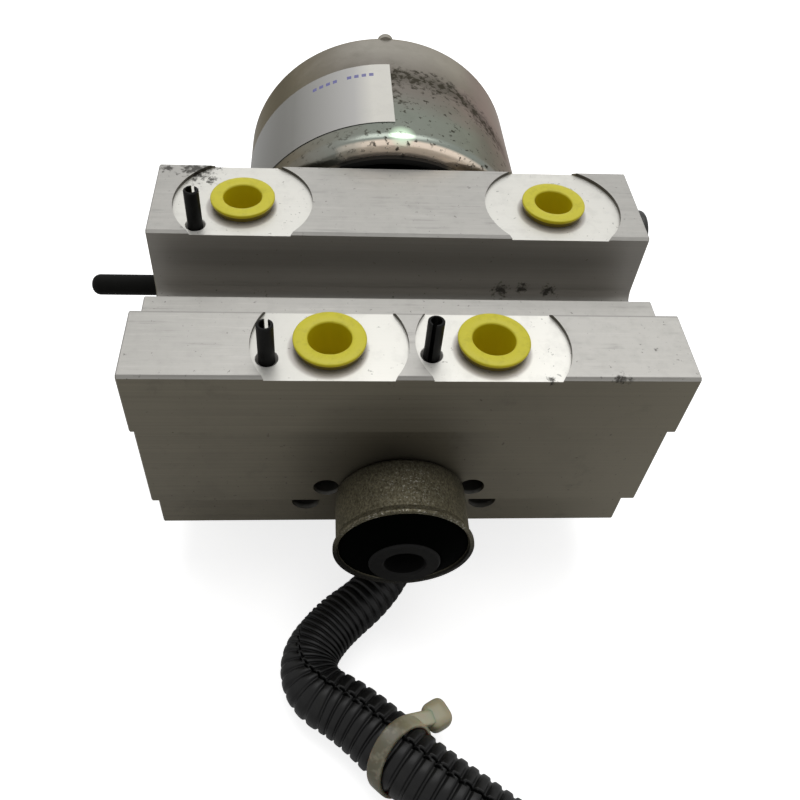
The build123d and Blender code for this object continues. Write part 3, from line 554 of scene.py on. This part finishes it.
# Plain finishes, each speckled from a dark to a light tone, and the nodes that wear them
steel = {"metallic": 0.9, "scale": 700.0, "soft": 0.25, "bump": 0.1, "gloss": 0.5}
plastic = {"metallic": 0.0, "scale": 600.0, "soft": 0.3, "bump": 0.1, "gloss": 0.5}
rubber = {"metallic": 0.0, "scale": 400.0, "soft": 0.3, "bump": 0.2, "gloss": 0.05}
finishes = {
    "blackenedSteel": {
        **steel, "dark": (0.03, 0.03, 0.028), "light": (0.07, 0.07, 0.065), "roughness": 0.42,
        "metallic": 0.6, "nodes": ("side_plug",),
    },
    "bareSteel": {
        **steel, "dark": (0.42, 0.41, 0.39), "light": (0.6, 0.59, 0.57), "roughness": 0.35,
        "nodes": (
            "side_spigot", "tie_bolt", "pump_", "valve_body", "valve_armature", "front_bearing",
            "rear_bearing", "rotor_shaft", "eccentric", "cover_screw", "brush_spring",
        ),
    },
    "windingCopper": {
        **steel, "dark": (0.45, 0.18, 0.09), "light": (0.62, 0.3, 0.17), "roughness": 0.4,
        "nodes": ("rotor_windings", "commutator"),
    },
    "oxidePin": {
        **steel, "dark": (0.003, 0.003, 0.0027), "light": (0.009, 0.009, 0.008), "roughness": 0.5,
        "metallic": 0.0, "gloss": 0.12, "nodes": ("spring_pin",),
    },
    "oiledSteel": {
        **steel, "dark": (0.0015, 0.0015, 0.0012), "light": (0.005, 0.0048, 0.004), "roughness": 0.6,
        "metallic": 0.05, "gloss": 0.15, "nodes": ("bush_core",),
    },
    "blackPlastic": {
        **plastic, "dark": (0.010, 0.010, 0.010), "light": (0.018, 0.018, 0.018), "roughness": 0.5,
        "nodes": ("valve_cover", "brush_plate", "harness_connector", "valve_coil"),
    },
    "magnetAndCore": {
        **plastic, "dark": (0.03, 0.03, 0.032), "light": (0.06, 0.06, 0.062), "roughness": 0.5,
        "nodes": ("magnet_", "rotor_core", "brush_upper", "brush_lower"),
    },
    "blackRubber": {
        **rubber, "dark": (0.0003, 0.0005, 0.0003), "light": (0.0009, 0.0011, 0.0009), "roughness": 0.8,
        "gloss": 0.01, "nodes": ("bush_rubber", "motor_gasket", "cover_gasket"),
    },
    "dustyRubber": {
        **rubber, "dark": (0.002, 0.002, 0.0015), "light": (0.004, 0.004, 0.0034), "roughness": 0.6,
        "gloss": 0.08, "nodes": ("spigot_cap", "outlet_grommet"),
    },
}
for name, finish in finishes.items():
    material, tree, shader = startMaterial(name, finish["roughness"], finish["metallic"], finish["gloss"])
    mask = blotches(tree, finish["scale"], soft=finish["soft"])
    tree.links.new(blendColour(tree, mask, finish["dark"], finish["light"]), shader.inputs["Base Color"])
    bumpInto(tree, shader, mask, finish["bump"])
    dress(material, *finish["nodes"])

# Brush springs: copies of the same coils
for end in ("upper", "lower"):
    low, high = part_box(f"brush_spring_{end}")
    springPiece = addPiece(f"brushSpring{end.title()}", nodes[f"brush_spring_{end}"].data.copy())
    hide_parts(f"brush_spring_{end}")
    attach(springPiece, "unit")
    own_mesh(springPiece)
print("plugs, pins, springs and plastics dressed")

# Bush: rusty zinc, with painted highlights along the top of its lip and on the top of its body, painted
# shade under the lip and where it meets the block
bush = {
    "bare": (0.235, 0.213, 0.142),
    "rust": (0.045, 0.038, 0.02),
    "bright": (0.55, 0.53, 0.46),
    "underLip": (0.004, 0.004, 0.003),
    "oily": (0.012, 0.011, 0.007),
    "lip": (-11.4, -11.9),
    "lipTop": (-40.0, -32.0),
    "lipUnder": (-36.0, -46.0),
    "litPlace": ((1.5, -4.5, -31.0), 9.5),
    "atBlock": (-3.0, 2.4),
}
bushMaterial, tree, shader = startMaterial("rustyZinc", roughness=0.5, metallic=0.7)
_, behind, above = offsets(tree, datum)
streaks = brushed(tree, (2400.0, 1500.0, 2400.0), 2.6)
flecks = blotches(tree, 1700.0, 0.42, 0.1, 2.0)
colour = layer(tree, bush["bare"], bush["rust"], blotches(tree, 170.0), 0.55)
colour = blendColour(tree, streaks, bush["rust"], colour)
onLip = band(tree, behind, *bush["lip"])
lipTop = times(tree, onLip, band(tree, above, *bush["lipTop"]))
# painted highlight flecks, strongest along the top of the lip
colour = layer(tree, colour, bush["bright"], flecks, calc(tree, "MULTIPLY_ADD", lipTop, 0.85, 0.12))
# painted shade under the lip
colour = layer(tree, colour, bush["underLip"], onLip, band(tree, above, *bush["lipUnder"]), 0.93)
# a painted pool of light on the top of the sleeve
litPlace, litReach = bush["litPlace"]
colour = layer(tree, colour, bush["bright"], flecks, nearTo(tree, place(*litPlace), litReach), 0.8)
# painted shade where the sleeve meets the block
colour = layer(tree, colour, bush["oily"], band(tree, behind, *bush["atBlock"]), 0.75)
tree.links.new(colour, shader.inputs["Base Color"])
bumpInto(tree, shader, streaks, 0.3)
dress(bushMaterial, "bush_sleeve")

# Motor can: plated zinc, olive on the left, green and grey near the block, pinkish on the right.
# Spans are mm right of its axis or behind the block's front, or degrees round the axis
can = {
    "radius": 39.2,
    "x": -0.6,
    "z": -31.1,
    "middle": (0.195, 0.18, 0.165),
    "left": (0.15, 0.138, 0.113),
    "right": (0.315, 0.24, 0.237),
    "pink": (0.42, 0.33, 0.335),
    "far": (0.345, 0.33, 0.30),
    "near": (0.213, 0.235, 0.207),
    "dull": (0.085, 0.095, 0.075),
    "edge": (0.55, 0.5, 0.4, 1.0),
    "rim": (0.80, 0.68, 0.56),
    "glint": (0.7, 0.9, 0.68),
    "dirt": (0.022, 0.02, 0.013),
    "leftSpan": (-9.0, -29.0),
    "rightSpan": (14.5, 29.0),
    "nearSpan": (92.0, 80.0),
    "farSpan": (100.0, 112.0),
    "pinkSpans": ((92.0, 100.0), (18.0, 28.0)),
    "rimSpans": ((-17.0, -7.0), (22.0, 12.0)),
    "rimOut": (38.6, 38.2),
    "rimBehind": 73.2,
    "glintPlace": ((1.2, 72.4, 7.9), 4.0),
    "dirtBehind": 99.3,
    "dirtBend": 62.0,
    "dirtSpans": ((112.0, 96.0), (30.0, 42.0)),
}
canAxis = place(can["x"], 0, can["z"])


def canPlaces(tree):
    # mm right of the can's axis and behind the block's front, degrees round the axis and mm out from it
    right, behind, above = offsets(tree, canAxis)
    around = times(tree, calc(tree, "ARCTAN2", above, right), 180 / pi)
    outward = calc(tree, "SQRT", calc(tree, "MULTIPLY_ADD", right, right, times(tree, above, above)))
    return right, behind, around, outward


canMaterial, tree, shader = startMaterial("iridescentZinc", roughness=0.3, metallic=0.85)
shader.inputs["Specular Tint"].default_value = can["edge"]
offX, behind, around, outward = canPlaces(tree)
# The tones' borders drift by up to 6 mm across and 3 mm along the can
drift = calc(tree, "MULTIPLY_ADD", blotches(tree, 45.0, 0.6, 0.5), 24.0, -12.0)
driftX = calc(tree, "MULTIPLY_ADD", drift, 0.5, offX)
driftBehind = calc(tree, "MULTIPLY_ADD", drift, 0.25, behind)
leftness = band(tree, driftX, *can["leftSpan"])
rightness = band(tree, driftX, *can["rightSpan"])
notLeft = opposite(tree, leftness)
notRight = opposite(tree, rightness)
pinkBehind, pinkAcross = can["pinkSpans"]
colour = blendColour(tree, leftness, can["middle"], can["left"])
colour = layer(tree, colour, can["right"], rightness)
colour = layer(tree, colour, can["near"], band(tree, driftBehind, *can["nearSpan"]), notLeft, notRight)
colour = layer(tree, colour, can["far"], band(tree, driftBehind, *can["farSpan"]), notLeft)
pinkness = times(tree, band(tree, driftBehind, *pinkBehind), band(tree, driftX, *pinkAcross))
colour = layer(tree, colour, can["pink"], pinkness, 0.8)
colour = layer(tree, colour, can["dull"], blotches(tree, 160.0, soft=0.4), 0.35)
# A painted highlight on the rolled rim at the can's near end, over its lit middle
onRim = calc(tree, "LESS_THAN", behind, can["rimBehind"])
onRim = times(tree, band(tree, outward, *can["rimOut"]), onRim)
rimLit = times(tree, *(band(tree, driftX, *span) for span in can["rimSpans"]))
colour = layer(tree, colour, can["rim"], onRim, rimLit)
# a painted glint of the lamp on the can's near shoulder
glintPlace, glintReach = can["glintPlace"]
glint = nearTo(tree, place(*glintPlace), glintReach)
colour = layer(tree, colour, can["glint"], band(tree, glint, 0.1, 0.7))
# Dirt: a flaky band beside the label, curving a little nearer to its right, a smear along the label's
# end, specks nearer still and some grime at the rim
uneven = rawNoise(tree, 560.0, 5.0)
past = calc(tree, "MAXIMUM", calc(tree, "SUBTRACT", can["dirtBend"], around), 0.0)
bandMiddle = calc(tree, "MULTIPLY_ADD", past, -0.32, can["dirtBehind"])
fromBand = calc(tree, "ABSOLUTE", calc(tree, "SUBTRACT", behind, bandMiddle))
inSpan = times(tree, *(band(tree, around, *span) for span in can["dirtSpans"]))
byLabel = times(tree, band(tree, around, 81.0, 88.0), band(tree, behind, 80.0, 90.0))
byLabel = times(tree, byLabel, band(tree, behind, 106.0, 101.0), 0.7)
reach = calc(tree, "MAXIMUM", band(tree, fromBand, 8.0, 0.0), byLabel)
dirt = band(tree, calc(tree, "MULTIPLY_ADD", reach, 0.25, uneven), 0.58, 0.76)
dirt = calc(tree, "MAXIMUM", dirt, times(tree, band(tree, fromBand, 4.5, 1.0), 0.5))
dirt = times(tree, dirt, band(tree, reach, 0.0, 0.3))
strewn = times(tree, band(tree, behind, 102.0, 97.0), band(tree, uneven, 0.585, 0.64))
dirt = times(tree, calc(tree, "MAXIMUM", dirt, strewn), inSpan)
atRim = times(tree, band(tree, uneven, 0.57, 0.64), band(tree, behind, 80.0, 74.0), 0.6)
dirt = calc(tree, "MAXIMUM", dirt, atRim)
tree.links.new(layer(tree, colour, can["dirt"], dirt, 0.9), shader.inputs["Base Color"])
tree.links.new(calc(tree, "MULTIPLY_ADD", dirt, 0.4, 0.28), shader.inputs["Roughness"])
bumpInto(tree, shader, dirt, 0.25)
dress(canMaterial, "motor_can")

# The end plate shows as a dark crescent: black painted shadow of the gap in its middle, stained zinc at its
# sides
endPlate = {"black": (0.003, 0.003, 0.0025), "stained": (0.26, 0.225, 0.16), "fade": (13.0, 19.0)}
plateMaterial, tree, shader = startMaterial("stainedPlate", roughness=0.5, gloss=0.15)
sides = band(tree, calc(tree, "ABSOLUTE", offsets(tree, canAxis)[0]), *endPlate["fade"])
colour = layer(tree, endPlate["stained"], can["dirt"], blotches(tree, 420.0, 0.45, 0.2), 0.6)
tree.links.new(blendColour(tree, sides, endPlate["black"], colour), shader.inputs["Base Color"])
dress(plateMaterial, "motor_end_plate")

# Label: paper at its right end, darker to the left where it is worn through to a clear film and in painted
# shade, with a row of plain marks
label = {
    "start": 89.5,
    "end": 167.0,
    "near": 77.3,
    "far": 105.5,
    "thick": 0.15,
    "paper": (0.80, 0.78, 0.71),
    "worn": (0.54, 0.53, 0.51),
    "clear": (0.165, 0.16, 0.14),
    "ink": (0.05, 0.05, 0.32),
    "wornSpan": (97.0, 104.0),
    "clearSpan": (104.0, 130.0),
    "marksFrom": 92.0,
    "marksTo": 123.5,
    "markPitch": 2.9,
    "wordPitch": 14.5,
    "markRow": (99.65, 101.15),
}
# The label's point: an angle round the can and a distance along it
angle = np.radians(np.linspace(label["start"], label["end"], 60))[:, None]
depth = np.linspace(label["near"], label["far"], 24)[None, :] + 0 * angle
radius = can["radius"] + label["thick"]
sheet = [radius * np.cos(angle) + 0 * depth, depth, radius * np.sin(angle) + 0 * depth]
points = canAxis + mm * np.stack(sheet, -1)
labelPiece = meshGrid("motorLabel", points)
labelMaterial, tree, shader = startMaterial("labelFilm", roughness=0.3)
_, behind, around, _ = canPlaces(tree)
smudge = blotches(tree, 120.0, 0.45)
colour = blendColour(tree, smudge, label["paper"], scaled(label["paper"], 0.87))
# darker towards the left: worn and clear film, partly painted shade
colour = layer(tree, colour, label["worn"], band(tree, around, *label["wornSpan"]))
colour = layer(tree, colour, label["clear"], band(tree, around, *label["clearSpan"]))
# Marks fill three fifths of their pitch, in words with a space at the start of each
fromFirst = calc(tree, "SUBTRACT", around, label["marksFrom"])
mark = calc(tree, "FRACT", calc(tree, "DIVIDE", fromFirst, label["markPitch"]))
word = calc(tree, "FRACT", calc(tree, "DIVIDE", fromFirst, label["wordPitch"]))
ink = times(tree, calc(tree, "GREATER_THAN", mark, 0.4), calc(tree, "GREATER_THAN", word, 0.2))
inRow = within(tree, behind, *label["markRow"])
inTurn = within(tree, around, label["marksFrom"] + 0.5, label["marksTo"])
faded = calc(tree, "MULTIPLY_ADD", smudge, -0.5, 0.85)
colour = layer(tree, colour, label["ink"], ink, inRow, inTurn, faded)
tree.links.new(colour, shader.inputs["Base Color"])
labelPiece.data.materials.append(labelMaterial)
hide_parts("motor_label")
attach(labelPiece, "unit")
print("motor dressed")

# Harness. "swell", "pitch" and "seam" are stops along the line: mm from the start, and the radius, the
# rib pitch and the seam's angle there
harness = {
    "diameter": 13.8,
    "route": [
        (5.5, 27.6, 8.2), (5.5, 17.6, 8.2), (0.0, -4.6, 8.2), (-20.6, -21.4, 8.2), (-20.9, -32.4, 8.2),
        (-9.9, -38.6, 8.2), (3.0, -51.4, 8.2), (32.0, -71.5, 8.2), (49.0, -77.5, 8.0), (67.5, -78.5, 8.0),
    ],
    "floor": -80.3,
    "swell": ((0, 5.7), (30, 5.7), (95, 7.7), (110, 7.7), (145, 6.8)),
    "pitch": ((0, 2.1), (44, 2.1), (52, 1.4), (63, 1.5), (72, 2.45), (98, 2.95), (150, 2.6)),
    "ribShare": 0.058,
    "grooveShare": 0.155,
    "crown": 0.022,
    "seam": ((0, -20), (40, -10), (55, 30), (68, 98), (90, 102), (170, 110)),
    "seamWidth": 1.7,
    "seamDepth": 1.7,
    "seamJog": 3.4,
    "seamLip": 0.22,
    "lipReach": 9.0,
    "crowding": 0.86,
    "dark": (0.005, 0.005, 0.005),
    "dust": (0.014, 0.014, 0.012),
}
route = [place(x, y, z + harness["floor"]) for x, y, z in harness["route"]]
spineData = bpy.data.curves.new("conduitLine", "CURVE")
spineData.dimensions = "3D"
spineData.resolution_u = 40
spline = spineData.splines.new("NURBS")
spline.points.add(len(route) - 1)
for point, spotAt in zip(spline.points, route):
    point.co = (*spotAt, 1)
spline.order_u = 3
spline.use_endpoint_u = True
spine = addPiece("conduitLine", spineData)
line = bpy.data.meshes.new_from_object(spine.evaluated_get(bpy.context.evaluated_depsgraph_get()))
linePoints = np.empty(len(line.vertices) * 3)
line.vertices.foreach_get("co", linePoints)
linePoints = linePoints.reshape(-1, 3)
bpy.data.objects.remove(spine)
steps = np.r_[0, np.cumsum(np.linalg.norm(np.diff(linePoints, axis=0), axis=1))] / mm
lineLength = steps[-1]
print("conduit line", round(lineLength, 1), "mm")


def onLine(distance):
    # place, heading and the two cross directions at a distance in mm along the line
    spotAt, ahead, behind = (
        np.stack([np.interp(distance + gap, steps, linePoints[:, i]) for i in range(3)], -1)
        for gap in (0, 0.5, -0.5)
    )
    heading = ahead - behind
    heading /= np.linalg.norm(heading, axis=-1, keepdims=True)
    side = np.cross(heading, [0, 0, 1.0])
    side /= np.linalg.norm(side, axis=-1, keepdims=True)
    return spotAt, heading, side, np.cross(side, heading)


def curveOf(distance, stops):
    return np.interp(distance, *zip(*stops))


# Ribs are counted by adding up step / pitch: they crowd in the fold and widen towards the tie
fine = np.linspace(0, lineLength, 4000)
count = np.cumsum(np.r_[0, np.diff(fine) / curveOf(fine[1:], harness["pitch"])])
ribs = int(count[-1])
inRib = np.array([0.0, 0.2, 0.3, 0.37, 0.42, 0.46, 0.5, 0.54, 0.58, 0.63, 0.7, 0.8])
stations = np.interp((np.arange(ribs)[:, None] + inRib[None, :]).ravel(), count, fine)
phase = np.interp(stations, fine, count)
# Angles round the conduit crowd together at the seam
sweep = np.linspace(-np.pi, np.pi, 96, endpoint=False)
fromSeam = sweep - harness["crowding"] * np.sin(sweep)
seamAt = np.radians(curveOf(stations, harness["seam"]))
centre, heading, side, rise = onLine(stations)
outer = curveOf(stations, harness["swell"])
# A rib is a flat crest with a narrower groove beside it: the groove is a bell of the phase
groove = np.exp(-(((phase % 1) - 0.5) / harness["grooveShare"]) ** 4)
fromCrest = 1 - np.abs(2 * (phase % 1) - 1)
crown = harness["crown"] * fromCrest**2
radius = (outer * (1 - harness["ribShare"] * groove - crown))[:, None] + 0 * sweep[None, :]
# The seam jogs from one rib to the next, sinks between its lips and leaves one lip higher
swing = 0.6 + 0.4 * np.sin(7.1 * np.floor(phase))
jog = np.radians(harness["seamJog"]) * np.where((phase % 1) < 0.5, 1, -1) * swing
gap = (fromSeam[None, :] - jog[:, None]) / np.radians(harness["seamWidth"])
radius -= harness["seamDepth"] * np.exp(-(gap**4))
radius += harness["seamLip"] * np.tanh(gap) * np.exp(-((gap / harness["lipReach"]) ** 2))
turn = seamAt[:, None] + fromSeam[None, :]
points = centre[:, None] + mm * radius[..., None] * (
    side[:, None] * np.cos(turn)[..., None] + rise[:, None] * np.sin(turn)[..., None]
)
conduit = meshGrid("conduit", points, closedV=True)
conduitMaterial, tree, shader = startMaterial("conduitPlastic", roughness=0.38, gloss=0.22)
colour = blendColour(tree, blotches(tree, 300.0, 0.45), harness["dark"], harness["dust"])
tree.links.new(colour, shader.inputs["Base Color"])
conduit.data.materials.append(conduitMaterial)
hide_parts("harness_conduit")
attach(conduit, "unit")

# The tie: a flat band slanting round the conduit, a short strap and a rounded lock beside it. Lock and
# strap have a size, the power of their corners and a place away from, over and along the line
tie = {
    "at": (-0.3, -47.9),
    "slant": 3.0,
    "bow": 0.38,
    "band": 3.5,
    "thick": 0.9,
    "squareness": 0.35,
    "clearance": 0.05,
    "ground": 0.05,
    "lock": {"size": (6.0, 5.4, 6.6), "power": 0.6, "place": (12.3, 0.2, 0.9), "turn": 0.35},
    "strap": {"size": (8.2, 1.6, 3.5), "power": 0.35, "place": (7.9, 2.2, -1.5), "turn": radians(38.0)},
    "dusk": (0.115, 0.106, 0.062),
    "colour": (0.45, 0.42, 0.27),
    "milk": (0.42, 0.40, 0.30),
}
flat = place(*tie["at"], 0)[:2]
tieAt = stations[np.argmin(np.linalg.norm(centre[:, :2] - flat, axis=1))]
middle, heading, side, rise = (v[0] for v in onLine(np.array([tieAt])))
innerRadius = float(curveOf(tieAt, harness["swell"])) + tie["clearance"]
lean = np.tan(radians(tie["slant"]))


def lowPower(v, p):
    return np.sign(v) * np.abs(v) ** p


def besideLine(away, lift, ahead):
    return middle + mm * (lift * rise - away * side + ahead * heading)


around = np.linspace(0, 2 * np.pi, 96, endpoint=False)[:, None]
section = np.linspace(0, 2 * np.pi, 16, endpoint=False)[None, :]
# The band's section is a circle whose sine and cosine are raised to a low power
wide = tie["band"] / 2 * lowPower(np.cos(section), tie["squareness"]) + 0 * around
thickness = tie["thick"] * (0.5 + 0.5 * lowPower(np.sin(section), tie["squareness"]))
reach = innerRadius + thickness + 0 * around
across = reach * np.cos(around)
over = reach * np.sin(around)
# The loop leans back at its top by "bow" of the height over the line
points = middle + mm * (
    across[..., None] * side
    + over[..., None] * rise
    + (wide - lean * across - tie["bow"] * over)[..., None] * heading
)
# It is pressed flat where it meets the ground
points[..., 2] = np.maximum(points[..., 2], tie["ground"] * mm)
tiePieces = [meshGrid("tieBand", points, closedU=True, closedV=True)]
# Lock and strap are superellipsoids, balls whose sines and cosines are raised to a low power
lat = np.linspace(-np.pi / 2, np.pi / 2, 25)[:, None]
lon = np.linspace(0, 2 * np.pi, 40, endpoint=False)[None, :]
for part in (tie["lock"], tie["strap"]):
    a, b, c = (v / 2 for v in part["size"])
    equator = lowPower(np.cos(lat), part["power"])
    ball = [
        a * equator * lowPower(np.cos(lon), part["power"]),
        b * equator * lowPower(np.sin(lon), part["power"]),
        c * lowPower(np.sin(lat), part["power"]) + 0 * lon,
    ]
    along = np.sin(part["turn"]) * heading - np.cos(part["turn"]) * side
    ways = (along, rise, np.cross(along, rise))
    points = besideLine(*part["place"]) + mm * sum(v[..., None] * way for v, way in zip(ball, ways))
    tiePieces.append(meshGrid("tieLock", points, closedV=True))
tiePiece = join("cableTie", tiePieces)
tieMaterial, tree, shader = startMaterial("naturalNylon", roughness=0.38)
shader.inputs["Subsurface Weight"].default_value = 0.4
shader.inputs["Subsurface Scale"].default_value = 3 * mm
# Darker round the conduit, partly painted shade and partly the black conduit seen through the nylon, lighter
# towards the lock, with milky clouds
lit = nearTo(tree, besideLine(*tie["lock"]["place"]), 15.0)
colour = blendColour(tree, band(tree, lit, 0.0, 0.55), tie["dusk"], tie["colour"])
colour = layer(tree, colour, tie["milk"], band(tree, rawNoise(tree, 420.0, 2.0), 0.5, 0.62), 0.3)
tree.links.new(colour, shader.inputs["Base Color"])
tiePiece.data.materials.append(tieMaterial)
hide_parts("cable_tie")
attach(tiePiece, "unit")
print("harness laid")
